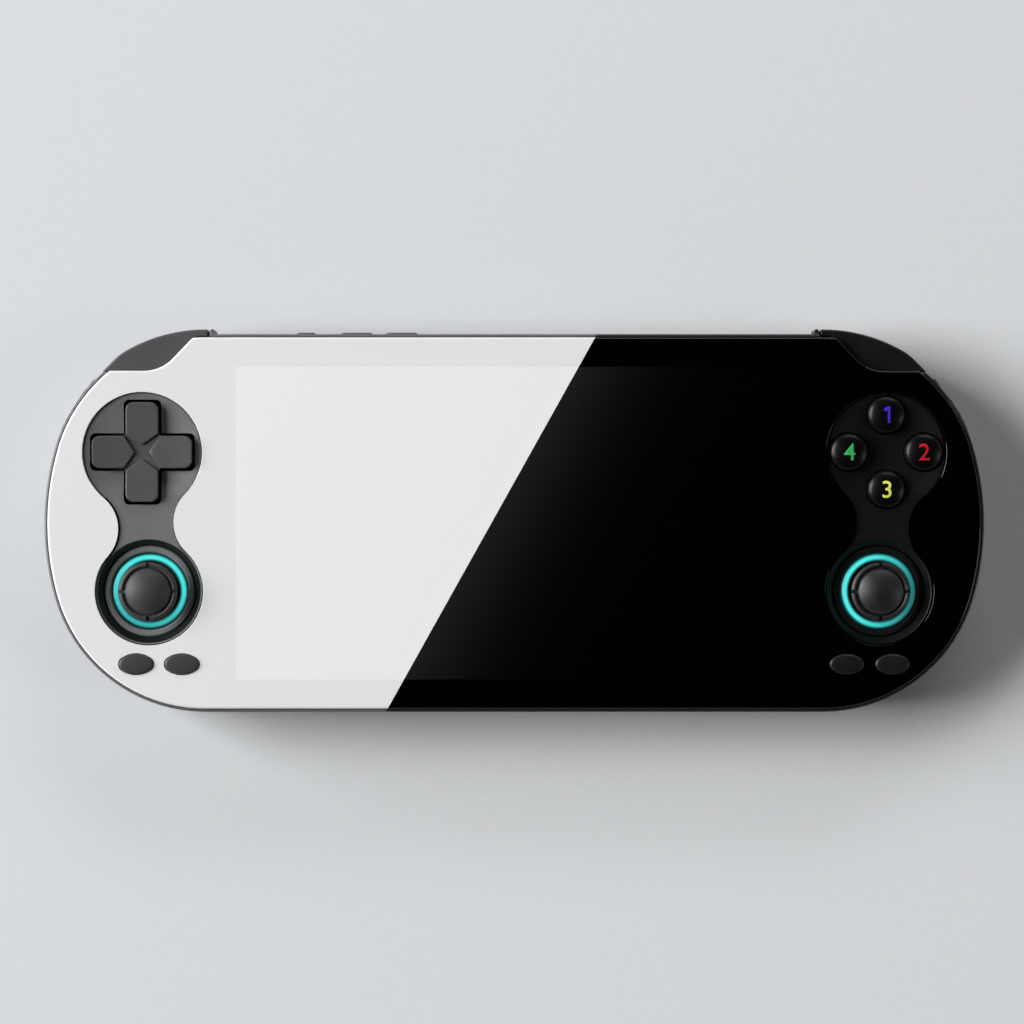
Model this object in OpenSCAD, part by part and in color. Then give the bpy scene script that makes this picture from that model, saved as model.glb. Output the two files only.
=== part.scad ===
// Handheld game console lying on its back: X along the width, Y towards the shoulder buttons, Z upwards.

/* [Body] */
// Width across the rounded ends
body_w = 204; // [202:0.5:212]
// Height from the bottom edge to the top edge
body_h = 82; // [81.5:0.5:86]
// Thickness from the back face to the face of the front panel
body_t = 17; // [17:0.1:18.5]
// Radius of the shallow arc at each end
end_r = 59; // [57:0.5:62]
// Radius of the four corners
corner_r = 34; // [33:0.5:35]
// Wall of the rear shell and of the front frame
wall = 1.8; // [1.6:0.1:2]
// Rounding of the back edge
back_edge_r = 7; // [6:0.5:7]
// Height of the joint between the rear shell and the front frame
split_z = 7.5; // [7.4:0.1:7.7]

/* [Front] */
// Thickness of the front panel
panel_t = 1.2; // [1:0.1:1.4]
// Distance from the body outline to the edge of the panel
panel_inset = 0.7; // [0.6:0.05:0.9]
// Width of each end of the front, from the body outline to the picture
side_border = 41.55; // [41.05:0.05:44]
// Height of the border between the picture and each long edge
edge_border = 7; // [6.5:0.1:8.5]
// Thickness of the display module
display_t = 2.3; // [2:0.1:2.4]
// Radius of the round control area of an island, on a body 82 high
pad_radius = 13; // [12.8:0.1:13.2]
// Radius of the stick area of an island, on a body 82 high
well_radius = 11.75; // [11.6:0.05:12]
// Radius of the neck between the two areas, on a body 82 high
neck_radius = 8.8; // [8:0.1:10]
// Depth of the hollow that the control area is sunk into
dish_depth = 1.2; // [0.8:0.1:1.4]

/* [Controls] */
// Span of the direction pad from tip to tip, on a body 82 high
cross_span = 21.6; // [20:0.1:22]
// Width of an arm of the direction pad, on a body 82 high
cross_arm = 7; // [6.4:0.1:7.4]
// Gap between the direction pad and its opening
pad_gap = 0.6; // [0.5:0.05:0.8]
// Diameter of a face button, on a body 82 high
face_d = 8.3; // [7.4:0.1:8.4]
// Distance of a face button from the middle of the four, on a body 82 high
face_reach = 8.1; // [7.8:0.1:8.4]
// Travel of a face button
button_travel = 1.2; // [0.8:0.1:1.2]
// Width of an oval key, on a body 82 high
oval_w = 7.5; // [7:0.1:8]
// Height of an oval key, on a body 82 high
oval_h = 4.5; // [4.4:0.1:5]
// Diameter of a stick cap, on a body 82 high
stick_d = 12.8; // [12:0.1:13.2]
// Height of a stick cap above the panel
cap_rise = 4.4; // [4:0.1:5]
// Height of the outer face of a shoulder button above the outline
shoulder_rise = 1.1; // [0.8:0.1:1.4]
// Width of the power button
power_w = 4.2; // [3.8:0.1:5]
// Width of a volume button
volume_w = 7; // [6:0.1:7.4]

/* [Connections] */
// Bore of the headphone jack
jack_bore = 3.6; // [3.5:0.05:3.7]
// Width of the opening of the charging port
port_w = 8.4; // [8.3:0.05:8.6]
// Height of the opening of the charging port
port_h = 2.6; // [2.5:0.05:2.8]
// Width of the card slot
card_w = 11.4; // [11.2:0.1:12]

/* [Hidden] */
$fn = 64;
half_w = body_w / 2;
half_h = body_h / 2;
// The two ends and their controls are laid out in proportion to the height of the body
lay = body_h / 82;
fit = 0.15;
slide = 0.2;
running = 0.06;

// Outline: three arcs at each end, straight along the top and the bottom
corner_cy = half_h - corner_r;
end_cx = half_w - end_r;
corner_cx = end_cx + sqrt(pow(end_r - corner_r, 2) - pow(corner_cy, 2));
corner_c = [corner_cx, corner_cy];
end_c = [end_cx, 0];
seam = end_c + 4 * (corner_c - end_c);
blend = 0.01;

// Picture area between the two ends
picture_w = body_w - 2 * lay * side_border;
picture_h = body_h - 2 * edge_border;

// Levels counted down from the face of the panel
panel_z = body_t - panel_t;
lip_z = panel_z + 0.6;
deck_t = 1.2;
deck_z = panel_z - deck_t;
display_z = panel_z - display_t;
tray_t = 1;
tray_z = display_z - tray_t;
island_top = body_t - 0.5;
plate_z = body_t - 3.6;
cup_floor_z = body_t - 3.8;
cup_t = 1;
cup_z = cup_floor_z - cup_t;
board_t = 1;
wing_board_z = body_t - 8.4;
wing_top_z = wing_board_z + board_t;
main_board_z = body_t - 9.4;
main_top_z = main_board_z + board_t;
dome_top_z = wing_top_z + 0.9 + button_travel;

// Islands
pad_r = lay * pad_radius;
well_r = lay * well_radius;
neck_r = lay * neck_radius;
pad_c = [half_w - lay * 21.3, lay * 15.4];
well_c = [half_w - lay * 22.8, lay * -14.8];
key_out = [half_w - lay * 20, lay * 10.4 - half_h];
key_in = [half_w - lay * 29.9, lay * 10.4 - half_h];
dish_reach = pad_r - 0.45;
dish_r = (dish_reach * dish_reach + dish_depth * dish_depth) / (2 * dish_depth);

function meet(a, ra, b, rb, s) = let (
    d = norm(b - a),
    u = (b - a) / d,
    t = (ra * ra - rb * rb + d * d) / (2 * d),
    h = sqrt(ra * ra - t * t)
  ) a + t * u + s * h * [-u[1], u[0]];
neck_a = meet(pad_c, pad_r + neck_r, well_c, well_r + neck_r, 1);
neck_b = meet(pad_c, pad_r + neck_r, well_c, well_r + neck_r, -1);

// Direction pad
pad_span = lay * cross_span;
pad_arm = lay * cross_arm;
pad_top = body_t + 1;
pad_pivot_z = wing_top_z + 1.4;
ball_r = 1.8;
pad_flange_t = 0.6;
pad_flange_z = dome_top_z + 0.2;
pad_flange_r = lay * 8.4;

// Face buttons and keys
button_d = lay * face_d;
button_reach = lay * face_reach;
button_top = body_t + 1.2;
button_edge = 0.6;
button_dome_r = 10;
button_foot_z = dome_top_z + 0.1;
key_top = body_t + 0.6;
key_flange_t = 0.8;
key_w = lay * oval_w;
key_h = lay * oval_h;
key_end_r = lay * 1.55;
key_mid = key_w / 2 - key_end_r;
key_half = key_h / 2;
key_side_r = (key_mid * key_mid + key_half * key_half - key_end_r * key_end_r) / (key_h - 2 * key_end_r);
key_drop = key_side_r - key_h / 2;
key_clip = key_mid * (1 + key_end_r / (key_side_r - key_end_r));

// Sticks
cap_d = lay * stick_d;
pivot_z = body_t - 7.6;
cap_top = body_t + cap_rise;
cap_t = 2.6;
cap_rim_drop = 0.95;
cap_rim_r = 0.8;
cap_dome_r = 11.8;
groove_in = cap_d / 2 - 1.55;
groove_out = cap_d / 2 - 1.1;
ball_out = 5;
ring_in = lay * 5.7;
lamp_in = lay * 6.5;
ring_out = lay * 8.3;
trim_in = lay * 8.4;
trim_out = lay * 9.9;
base_w = lay * 15;
base_z = pivot_z - 3.8;
yoke_pin_r = 0.9;
rocker_pin_r = 0.7;
shaft_r = 1.5;
click = 0.6;
cap_foot_z = pivot_z + ball_out + click + 0.1;

// Shoulder buttons and triggers
shoulder_front = panel_z - 0.4;
shoulder_back = split_z + 0.7;
trigger_front = split_z - 0.3;
notch_y = half_h - lay * 7.95;
notch_big = 8.7;
notch_small = 2;
notch_cc = [corner_cx + 13.35, notch_y + notch_big];
notch_cv = [corner_cx + 1.85, half_h - panel_inset - notch_small];
notch_d = notch_cc - notch_cv;
notch_angle = atan2(notch_d[1], notch_d[0]) - asin((notch_big + notch_small) / norm(notch_d));
notch_n = [-sin(notch_angle), cos(notch_angle)];
shoulder_lap = 0.3;
shoulder_room = 1.6;
shoulder_in = corner_cx - 0.55;
shoulder_out = corner_cx + 23.9;
bay_in = shoulder_in - 0.35;
bay_out = shoulder_out + 0.35;
pin_c = [corner_cx + 2.7, half_h - 6];
pin_r = 0.8;
pin_foot_z = wall + 0.9;
pin_head_z = deck_z + 0.4;
trigger_rise = 0.7;
trigger_out = shoulder_out - 2.4;
trigger_skin = 1.9;
trigger_room = 3.2;
trigger_web = 4;
switch_y = pad_c[1] + pad_r + 1.3;
switch_x = pin_c[0] + 8;
lap_r = notch_big + shoulder_lap;
web_r = corner_r - trigger_web;
shoulder_tip = notch_cc[1] - sqrt(pow(lap_r, 2) - pow(notch_cc[0] - switch_x, 2)) - 0.55;
trigger_tip = corner_cy + sqrt(pow(web_r, 2) - pow(switch_x - corner_cx, 2)) - 0.6;

// Fasteners
screw_r = 0.9;
head_r = 1.7;
case_x = picture_w / 2 + 0.05;
wing_x = half_w - lay * 36.6;
board_x = picture_w / 2 - 8.95;
case_screws_at = [[case_x, lay * 27], [case_x, lay * -27], [half_w - 6.5, 0]];
wing_screws_at = [[wing_x, lay * 21], [wing_x, lay * -21]];
board_screws_at = [[board_x, picture_h / 2 - 6], [board_x, 20 - picture_h / 2]];

// Pieces between the back and the display, sized from the picture
board_w = picture_w - 6.9;
board_h = picture_h + 6;
battery_w = picture_w - 40.9;
battery_h = picture_h - 22;
window_x = picture_w / 4 - 3.225;
window_w = picture_w / 2 - 16.45;
window_h = picture_h - 24;
speaker_c = [case_x - 12.5, 11.5 - half_h];
wing_edge_x = half_w - lay * 38.6;
ribbon_y = 6 - picture_h / 2;
ribbon_w = 18;

// Connections along the bottom edge
port_shell = 0.3;
port_z = main_top_z + port_h / 2 + port_shell;
port_x = 0;
jack_x = 28;
card_x = -28;
inner_h = half_h - wall;

// Top edge buttons
edge_z = main_top_z + 2.2;
edge_h = 2.6;
edge_rise = 0.55;
power_x = 15.05 - picture_w / 2;
down_x = power_x + 11;
up_x = power_x + 20.8;

shell_grey = "#6f7072";
frame_grey = "#5a5b5d";
panel_white = "#e1e2e2";
control_grey = "#5e5f61";
black = "#141416";
metal = "#b9bcc0";
board_green = "#1f4d3a";
rubber = "#3b3c3f";
lamp = "#4fe6e4";

// Outline of the body seen from the front, grown by o
module outline_2d(o = 0) {
  top = half_h + o - blend;
  polygon([[-corner_cx, -top], [corner_cx, -top], [corner_cx, top], [-corner_cx, top]]);
  for (x = [-corner_cx, corner_cx], y = [-corner_cy, corner_cy])
    translate([x, y]) circle(corner_r + o, $fn = 180);
  for (s = [0, 1]) mirror([s, 0]) intersection() {
    translate(end_c) circle(end_r + o - blend, $fn = 180);
    end_wedge_2d();
  }
}

// Directions covered by an end arc, and by the corner arc above it
module end_wedge_2d() {
  polygon([end_c, [corner_cx, -corner_cy], [seam[0], -seam[1]], seam, corner_c]);
}

module corner_wedge_2d() {
  polygon([corner_c, seam, [seam[0], seam[0]], [corner_cx, seam[0]]]);
}

// Half section of a slab of reach r from z0 to z1 whose lower edge is rounded by e
module edge_2d(r, z0, z1, e) {
  translate([0, z0 + e]) square([r, z1 - z0 - e]);
  translate([0, z0]) square([r - e, e]);
  translate([r - e, z0 + e]) intersection() {
    circle(e);
    translate([0, -e]) square([e, e]);
  }
}

// Slab of the body outline grown by o, from z0 to z1, its lower edge rounded by e
module pillow(o, z0, z1, e) {
  translate([-corner_cx, 0, 0]) rotate([90, 0, 90]) linear_extrude(2 * corner_cx) {
    edge_2d(half_h + o, z0, z1, e);
    mirror([1, 0]) edge_2d(half_h + o, z0, z1, e);
  }
  for (s = [0, 1]) mirror([s, 0, 0]) {
    intersection() {
      translate(end_c) rotate_extrude($fn = 180) edge_2d(end_r + o, z0, z1, e);
      plate(z0 - 1, z1 + 1) end_wedge_2d();
    }
    for (t = [0, 1]) mirror([0, t, 0]) intersection() {
      translate(corner_c) rotate_extrude($fn = 180) edge_2d(corner_r + o, z0, z1, e);
      plate(z0 - 1, z1 + 1) corner_wedge_2d();
    }
  }
}

// Outline of an island: two discs joined by a neck with rounded sides, grown by o
module island_2d(o = 0) {
  translate(pad_c) circle(pad_r + o, $fn = 96);
  translate(well_c) circle(well_r + o, $fn = 96);
  difference() {
    polygon([pad_c, neck_a, well_c, neck_b]);
    translate(neck_a) circle(neck_r - o + blend);
    translate(neck_b) circle(neck_r - o + blend);
  }
}

// Oval of four arcs for the small keys, grown by o
module oval_2d(o = 0) {
  intersection() {
    translate([0, -key_drop]) circle(key_side_r + o, $fn = 96);
    translate([0, key_drop]) circle(key_side_r + o, $fn = 96);
    square([2 * key_clip, 2 * key_h], center = true);
  }
  for (s = [-1, 1]) translate([s * key_mid, 0]) circle(key_end_r + o + blend);
}

// Cut-out of the front for a shoulder button, grown by g
module notch_2d(g = 0) {
  t1 = notch_cc - (notch_big + g) * notch_n;
  t2 = notch_cv + (notch_small - g) * notch_n;
  t3 = notch_cv + [0, notch_small - g];
  difference() {
    polygon([notch_cc, t1, t2, t3, [t3[0], half_h + 9], [half_w, half_h + 9], [half_w, notch_y - g],
      [notch_cc[0], notch_y - g]]);
    translate(notch_cv) circle(notch_small - g + blend);
  }
  translate(notch_cc) circle(notch_big + g + blend, $fn = 96);
}

// Crescent of a shoulder button seen from the front
module shoulder_2d() {
  intersection() {
    union() {
      notch_2d(shoulder_lap);
      translate([shoulder_in, half_h - panel_inset + 0.15]) square([notch_cv[0] - shoulder_in + 0.1, 5]);
    }
    translate([corner_cx, corner_cy]) circle(corner_r + shoulder_rise, $fn = 180);
    translate([shoulder_in, 0]) square([shoulder_out - shoulder_in, half_h + 5]);
  }
}

// Ring around the corner arc, between two distances measured outwards from the outline
module corner_ring_2d(inner, outer) {
  translate([corner_cx, corner_cy]) difference() {
    circle(corner_r + outer, $fn = 180);
    circle(corner_r + inner, $fn = 180);
  }
}

// Cross of the direction pad, grown by o
module cross_2d(o = 0) {
  bar_2d(pad_span + 2 * o, pad_arm + 2 * o);
  rotate(90) bar_2d(pad_span + 2 * o, pad_arm + 2 * o);
}

// Bar with four rounded corners
module bar_2d(w, h, r = 1.2) {
  square([w - 2 * r, h], center = true);
  square([w, h - 2 * r], center = true);
  for (sx = [-1, 1], sy = [-1, 1]) translate([sx * (w / 2 - r), sy * (h / 2 - r)]) circle(r);
}

// Bar with half-round ends
module slot_2d(w, h) {
  square([w - h, h], center = true);
  for (s = [-1, 1]) translate([s * (w - h) / 2, 0]) circle(h / 2);
}

module both() {
  children();
  mirror([1, 0, 0]) children();
}

module left() {
  mirror([1, 0, 0]) children();
}

module post(c, r, z0, z1) {
  translate([c[0], c[1], z0]) cylinder(r = r, h = z1 - z0);
}

module block(c, size, z0, z1) {
  translate([c[0] - size[0] / 2, c[1] - size[1] / 2, z0]) cube([size[0], size[1], z1 - z0]);
}

module plate(z0, z1) {
  translate([0, 0, z0]) linear_extrude(z1 - z0) children();
}

// Back half of the housing: one moulding with screw bosses, stick supports and sound slots
module rear_shell() color(shell_grey) difference() {
  union() {
    difference() {
      pillow(0, 0, split_z, back_edge_r);
      pillow(-wall, wall, split_z + 1, back_edge_r - wall);
    }
    both() {
      for (c = case_screws_at) post(c, 3, wall / 2, split_z);
      post(well_c, 4.5, wall / 2, base_z - fit);
      post(pin_c, 2.2, wall / 2, pin_foot_z + 1);
    }
  }
  both() {
    for (c = case_screws_at) {
      post(c, head_r + 0.3, -1, 2.6);
      post(c, screw_r + fit, -1, split_z + 1);
    }
    post(pin_c, pin_r + 0.03, pin_foot_z - 0.1, split_z);
    for (i = [-2:2]) translate([speaker_c[0], speaker_c[1] + 1.9 * i, -1]) linear_extrude(wall + 2)
      slot_2d(11, 1.1);
    plate(-1, split_z + 1) intersection() {
      corner_ring_2d(-trigger_room, 6);
      translate([bay_in, half_h / 2]) square([trigger_out + 0.55 - bay_in, half_h]);
    }
  }
}

// Middle frame: side wall, deck under the front panel and tray for the display, in one moulding
module front_frame() color(frame_grey) difference() {
  union() {
    difference() {
      translate([0, 0, lip_z + split_z]) mirror([0, 0, 1]) pillow(0, split_z, lip_z, 0.45);
      plate(split_z - 1, deck_z) outline_2d(-wall);
      plate(panel_z, lip_z + 1) outline_2d(fit - panel_inset);
    }
    block([0, 0], [picture_w + 7.4, picture_h + 8.4], tray_z, deck_z + 0.2);
    both() {
      for (c = case_screws_at) post(c, 2.3, split_z, deck_z + 0.2);
      for (c = wing_screws_at) post(c, 1.9, wing_top_z, deck_z + 0.2);
      for (c = board_screws_at) post(c, 2.2, main_top_z, tray_z + 0.2);
      post(pin_c, 2, deck_z - 0.9, deck_z + 0.2);
      plate(split_z, panel_z) frame_ears_2d();
    }
  }
  block([0, 0], [picture_w + 4.2, picture_h + 5], display_z, panel_z + 1);
  for (s = [-1, 1]) block([s * window_x, 2], [window_w, window_h], tray_z - 1, display_z + 1);
  block([0, ribbon_y], [ribbon_w + 6, 3], tray_z - 1, display_z + 1);
  both() {
    plate(split_z + 1, panel_z + 1) island_2d(0);
    plate(split_z + 1, deck_z) island_2d(1.1 + fit);
    for (c = [key_out, key_in]) plate(deck_z - 1, panel_z + 1) translate(c) oval_2d(fit);
    plate(split_z - 1, lip_z + 1) intersection() {
      union() {
        notch_2d(shoulder_room);
        translate([bay_in, half_h - panel_inset - 0.2]) square([notch_cv[0] - bay_in + 0.1, 9]);
      }
      translate([bay_in, 0]) square([bay_out - bay_in, half_h + 9]);
    }
    for (c = case_screws_at) post(c, screw_r + 0.05, split_z - 1, split_z + 5.2);
    for (c = wing_screws_at) post(c, screw_r + 0.05, wing_top_z - 1, wing_top_z + 3.2);
    for (c = board_screws_at) post(c, screw_r + 0.05, main_top_z - 1, main_top_z + 3.2);
    post(pin_c, pin_r + 0.03, deck_z - 2, pin_head_z + 0.1);
  }
  for (b = [[power_x, power_w], [down_x, volume_w], [up_x, volume_w]])
    translate([b[0], half_h + 3, edge_z]) rotate([90, 0, 0]) linear_extrude(wall + 4)
      slot_2d(b[1] + 2 * slide, edge_h + 2 * slide);
  translate([port_x, -half_h - 3, port_z]) rotate([-90, 0, 0]) linear_extrude(wall + 4)
    slot_2d(port_w + 2 * port_shell + 2 * fit, port_h + 2 * port_shell + 2 * fit);
  translate([jack_x, -half_h - 3, port_z]) rotate([-90, 0, 0])
    cylinder(d = jack_bore + 1.6 + 2 * fit, h = wall + 4);
  block([card_x, -half_h], [card_w + 0.4, 2 * wall + 2], main_top_z + 0.3, main_top_z + 1.3);
}

// Raised ends of the wall that guard a shoulder button
module frame_ears_2d() {
  translate([bay_in - 1, half_h - wall]) square([1, wall + shoulder_rise - 0.5]);
  translate([bay_in - 0.6, half_h + 0.2]) square([0.6, shoulder_rise - 0.3]);
  translate([bay_in - 0.5, half_h + shoulder_rise - 0.5]) circle(0.5);
  intersection() {
    translate([corner_cx, corner_cy] + (corner_r - 5.7) * [cos(44.5), sin(44.5)]) circle(6);
    translate([bay_out, 20]) square([10, 20]);
    translate([corner_cx, corner_cy]) difference() {
      circle(corner_r + 3);
      circle(corner_r - wall);
    }
  }
}

// Front panel: one clear sheet printed from behind, cut out for the islands, keys and shoulder buttons
module front_panel() color(panel_white) plate(panel_z, body_t) difference() {
  outline_2d(-panel_inset);
  for (s = [0, 1]) mirror([s, 0]) {
    island_2d(0);
    notch_2d(0);
    for (c = [key_out, key_in]) translate(c) oval_2d(fit);
  }
}

// Island: hollowed control area and stick cup in one moulding, held by its flange under the deck
module island() difference() {
  union() {
    plate(plate_z, island_top) island_2d(-fit);
    plate(plate_z, deck_z) island_2d(1.1);
    post(well_c, well_r - fit, cup_z, plate_z + 0.1);
  }
  translate([pad_c[0], pad_c[1], island_top - dish_depth + dish_r]) sphere(dish_r, $fn = 120);
  post(well_c, trim_out + 0.1, cup_floor_z, body_t);
  translate([well_c[0], well_c[1], cup_floor_z + 1.8])
    cylinder(r1 = trim_out + 0.2, r2 = well_r - 0.5, h = island_top - cup_floor_z - 1.79);
  post(well_c, ring_in + 0.2, cup_z - 1, body_t);
}

module left_island() color(control_grey) left() difference() {
  island();
  translate([pad_c[0], pad_c[1], plate_z]) linear_extrude(6) cross_2d(pad_gap);
}

module right_island() color(black) difference() {
  island();
  for (a = [0:90:270]) translate([pad_c[0], pad_c[1], plate_z]) rotate(a) translate([button_reach, 0, 0])
    cylinder(d = button_d + 2 * slide, h = 6);
}

// Display: glass and backlight in one flat module
module display_module() color(black)
  block([0, 0], [picture_w + 3.8, picture_h + 4.6], display_z, panel_z);

// Flat cable from the lower edge of the display down to the main board
module display_ribbon() color("#8a5a2b") translate([-ribbon_w / 2, ribbon_y, 0]) rotate([90, 0, 90])
  linear_extrude(ribbon_w) polygon([[-0.2, display_z], [-0.2, main_top_z + 0.3], [-3.4, main_top_z + 0.3],
    [-3.4, main_top_z], [0.1, main_top_z], [0.1, display_z]]);

// Main board with a recess for the headphone jack
module main_board() color(board_green) difference() {
  plate(main_board_z, main_top_z) bar_2d(board_w, board_h, 3);
  block([jack_x, 10 - half_h], [7, 16], 0, body_t);
  both() for (c = board_screws_at) post(c, screw_r + fit, 0, body_t);
}

// Sheet metal can over the processor
module processor_shield() color(metal) block([-6, 8], [34, 30], main_top_z, main_top_z + 1.8);

// Flat battery stuck to the floor of the rear shell
module battery() color("#2d2f33") plate(wall, main_board_z - 0.6) translate([0, 5])
  bar_2d(battery_w, battery_h, 2);

// Button board of one side, cut out around the stick and the bosses
module button_board() difference() {
  plate(wing_board_z, wing_top_z) intersection() {
    outline_2d(-wall - 0.6);
    translate([wing_edge_x, 0.6 - inner_h]) square([half_w, inner_h - 0.6 + pad_c[1] + pad_r + 0.9]);
  }
  block(well_c, [base_w + 1, base_w + 1], 0, body_t);
  for (c = wing_screws_at) post(c, screw_r + fit, 0, body_t);
  for (c = case_screws_at) post(c, 2.7, 0, body_t);
}

module left_button_board() color(board_green) left() difference() {
  button_board();
  post(pad_c, 1.3, 0, body_t);
}

module right_button_board() color(board_green) button_board();

// Rubber mat with four domes, reach from the middle given
module membrane(reach, dome) {
  plate(wing_top_z, wing_top_z + 0.6) translate(pad_c) difference() {
    circle(reach + dome + 1);
    circle(2.4);
  }
  for (a = [0:90:270]) translate([pad_c[0], pad_c[1], wing_top_z + 0.5]) rotate(a)
    translate([reach, 0, 0]) cylinder(r1 = dome, r2 = dome - 0.5, h = dome_top_z - wing_top_z - 0.5);
}

module dpad_membrane() color(rubber) left() membrane(lay * 7, 2);

module face_membrane() color(rubber) membrane(button_reach, 2);

// Rubber mat with two domes under the oval keys
module key_membrane() {
  plate(wing_top_z, wing_top_z + 0.6) translate((key_out + key_in) / 2) slot_2d(lay * 17, lay * 5);
  for (c = [key_out, key_in]) translate([c[0], c[1], wing_top_z + 0.5])
    cylinder(r1 = 1.8, r2 = 1.4, h = dome_top_z - wing_top_z - 0.5);
}

module left_key_membrane() color(rubber) left() key_membrane();

module right_key_membrane() color(rubber) key_membrane();

// Light guide round a stick
module light_ring() translate([well_c[0], well_c[1], cup_floor_z]) rotate_extrude()
  polygon([[lamp_in, 0], [ring_out, 0], [ring_out, 1], [ring_out - 0.4, 1.4], [lamp_in + 0.4, 1.4],
    [lamp_in, 1]]);

module left_light_ring() color(lamp) left() light_ring();

module right_light_ring() color(lamp) light_ring();

// Trim ring between the light guide and the wall of the cup
module trim_ring() translate([well_c[0], well_c[1], cup_floor_z]) rotate_extrude() difference() {
  translate([trim_in, 0]) square([trim_out - trim_in, 1.7]);
  translate([trim_in, 1.7]) circle(0.3);
}

module left_trim_ring() color(metal) left() trim_ring();

module right_trim_ring() color(metal) trim_ring();

// Box of a stick module, open at the top for the stick and bored for the yoke
module stick_base() translate([well_c[0], well_c[1], 0]) difference() {
  block([0, 0], [base_w, base_w], base_z, cup_z);
  block([0, 0], [base_w - 2, base_w - 2], base_z + 1, cup_z - 0.8);
  translate([0, 0, cup_z - 2]) cylinder(r = ball_out + 0.4, h = 4);
  translate([0, 0, pivot_z]) rotate([0, 90, 0])
    cylinder(r = yoke_pin_r + running, h = base_w + 2, center = true);
}

module left_stick_base() color(black) left() stick_base();

module right_stick_base() color(black) stick_base();

// Yoke: ring on two pins along X
module stick_yoke() translate([well_c[0], well_c[1], pivot_z]) difference() {
  union() {
    cylinder(r = 3.6, h = 2.2, center = true);
    rotate([0, 90, 0]) cylinder(r = yoke_pin_r, h = base_w, center = true);
  }
  cylinder(r = 2.7, h = 4, center = true);
  rotate([90, 0, 0]) cylinder(r = rocker_pin_r + running, h = 9, center = true);
}

module left_stick_yoke() color(metal) left() stick_yoke();

module right_stick_yoke() color(metal) stick_yoke();

// Rocker: shaft on a cross pin along Y, with the dust dome
module stick_rocker() translate([well_c[0], well_c[1], pivot_z]) {
  rotate([90, 0, 0]) cylinder(r = rocker_pin_r, h = 7, center = true);
  cylinder(r = 1.9, h = 1.8, center = true);
  cylinder(r = shaft_r, h = cap_top - cap_t - pivot_z + 0.4);
  difference() {
    sphere(ball_out);
    sphere(ball_out - 0.7);
    translate([0, 0, 2.7 - 10]) cube(20, center = true);
  }
}

module left_stick_rocker() color(black) left() stick_rocker();

module right_stick_rocker() color(black) stick_rocker();

// Cap: domed top inside a ring groove and a rounded rim with four nicks, on a bored stem
module stick_cap() translate([well_c[0], well_c[1], cap_top]) difference() {
  rotate_extrude() difference() {
    union() {
      intersection() {
        translate([0, -cap_dome_r]) circle(cap_dome_r, $fn = 180);
        translate([0, -cap_t]) square([groove_in, cap_t]);
      }
      translate([0, -cap_t]) square([cap_d / 2 - cap_rim_r, cap_t - cap_rim_drop]);
      translate([0, cap_rim_r - cap_t]) square([cap_d / 2, cap_t - cap_rim_drop - 2 * cap_rim_r]);
      for (z = [cap_rim_r - cap_t, -cap_rim_drop - cap_rim_r])
        translate([cap_d / 2 - cap_rim_r, z]) circle(cap_rim_r);
      translate([0, cap_foot_z - cap_top]) square([2.6, cap_top - cap_foot_z - cap_t + 0.1]);
    }
    translate([groove_in, -1.7]) square([groove_out - groove_in, 2]);
    translate([0, cap_foot_z - cap_top])
      square([shaft_r + running, cap_top - cap_t + 0.4 + click + 0.1 - cap_foot_z]);
  }
  for (a = [0:90:270]) rotate(a) translate([cap_d / 2 - 0.5, 0, -cap_rim_drop])
    cube([1.4, 0.5, 0.9], center = true);
}

module left_stick_cap() color(control_grey) left() stick_cap();

module right_stick_cap() color(black) stick_cap();

// Steel pin that carries a shoulder button and the trigger behind it
module shoulder_pin() post(pin_c, pin_r, pin_foot_z, pin_head_z);

module left_shoulder_pin() color(metal) left() shoulder_pin();

module right_shoulder_pin() color(metal) shoulder_pin();

// Upright board with a push switch for the shoulder button and one for the trigger
module shoulder_switches() {
  block([switch_x, switch_y + 0.4], [7, 0.8], wall + 0.3, plate_z - 0.2);
  for (b = [[split_z - 1.8, trigger_tip], [shoulder_back + 2.6, shoulder_tip]]) {
    block([switch_x, switch_y + 1.2], [4, 1], b[0] - 1.3, b[0] + 1.3);
    translate([switch_x, switch_y + 1.6, b[0]]) rotate([-90, 0, 0])
      cylinder(r = 0.7, h = b[1] - switch_y - 1.6);
  }
}

module left_shoulder_switches() color(board_green) left() shoulder_switches();

module right_shoulder_switches() color(board_green) shoulder_switches();

// Strip with three push switches behind the top edge buttons
module edge_switches() color(board_green) {
  block([(power_x + up_x) / 2, inner_h - 4.2], [up_x - power_x + 8, 0.8], main_top_z, edge_z + 1.4);
  for (x = [power_x, down_x, up_x]) block([x, inner_h - 3.2], [3.4, 1.3], edge_z - 1.3, edge_z + 1.3);
}

// Speaker box over the sound slots
module speaker() difference() {
  block(speaker_c, [16, 10], wall + 0.15, wall + 4.6);
  block(speaker_c, [12, 7], wall, wall + 1);
}

module left_speaker() color(black) left() speaker();

module right_speaker() color(black) speaker();

// Charging port: drawn steel shell open to the bottom edge, with a tongue
module charging_port() color(metal) translate([port_x, -half_h + 0.4, port_z]) {
  difference() {
    rotate([-90, 0, 0]) linear_extrude(8) slot_2d(port_w + 2 * port_shell, port_h + 2 * port_shell);
    translate([0, -1, 0]) rotate([-90, 0, 0]) linear_extrude(7.6) slot_2d(port_w, port_h);
  }
  translate([-3.3, 1.6, -0.35]) cube([6.6, 5.4, 0.7]);
}

// Headphone jack: moulded body with a round bore from the bottom edge
module headphone_jack() color(black) translate([jack_x, -half_h + 0.3, port_z]) difference() {
  union() {
    translate([-3, wall, -2.1]) cube([6, 12.5, 4.2]);
    rotate([-90, 0, 0]) cylinder(d = jack_bore + 1.6, h = wall + 0.4);
  }
  translate([0, -1, 0]) rotate([-90, 0, 0]) cylinder(d = jack_bore, h = 14.5);
}

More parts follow.
